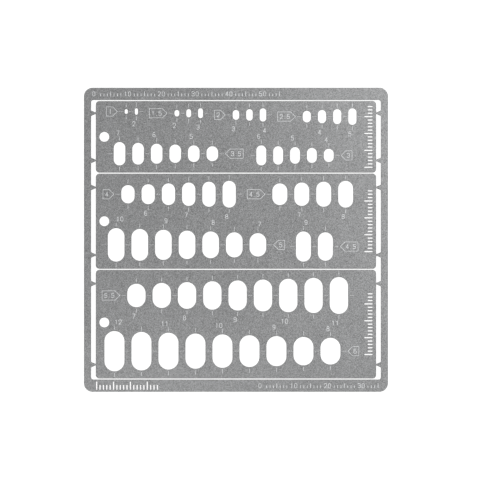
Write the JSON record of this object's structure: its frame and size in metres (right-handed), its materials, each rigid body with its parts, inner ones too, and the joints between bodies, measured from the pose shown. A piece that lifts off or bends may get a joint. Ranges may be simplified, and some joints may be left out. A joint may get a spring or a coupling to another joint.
{
  "type": "modeling template",
  "caption": "Thin etched steel template sheet: a square frame holds plates of round-ended slots on small break-off gates, for scribing or drawing slot outlines on models.",
  "frame": {"origin": "middle of the sheet's back, on the surface that the sheet lies on", "axes": "+Z out of the marked face, +X along the plates to the end with their scale bars, +Y to the header rail"},
  "size_m": [0.09, 0.09, 0.0002],
  "materials": {
    "etched_steel": "matte etched"
  },
  "bodies": {
    "frame_and_gates": {"frame": "etched_steel", "small_gate_left_upper": "etched_steel", "small_gate_left_lower": "etched_steel", "small_gate_right_upper": "etched_steel", "small_gate_right_lower": "etched_steel", "medium_gate_left_upper": "etched_steel", "medium_gate_left_lower": "etched_steel", "medium_gate_right_upper": "etched_steel", "medium_gate_right_lower": "etched_steel", "large_gate_left_upper": "etched_steel", "large_gate_left_lower": "etched_steel", "large_gate_right_upper": "etched_steel", "large_gate_right_lower": "etched_steel"},
    "small_plate": {"small_slot_plate": "etched_steel"},
    "medium_plate": {"medium_slot_plate": "etched_steel"},
    "large_plate": {"large_slot_plate": "etched_steel"}
  },
  "joints": [
    {"name": "small_plate_fold", "type": "hinge", "parent": "frame_and_gates", "child": "small_plate", "pos_m": [-0.0415, 0.0305, 0.0002], "axis": [0, -1, 0], "range_deg": [0, 90]},
    {"name": "medium_plate_fold", "type": "hinge", "parent": "frame_and_gates", "child": "medium_plate", "pos_m": [-0.0415, 0.0055, 0.0002], "axis": [0, -1, 0], "range_deg": [0, 90]},
    {"name": "large_plate_fold", "type": "hinge", "parent": "frame_and_gates", "child": "large_plate", "pos_m": [-0.0415, -0.025, 0.0002], "axis": [0, -1, 0], "range_deg": [0, 90]}
  ]
}
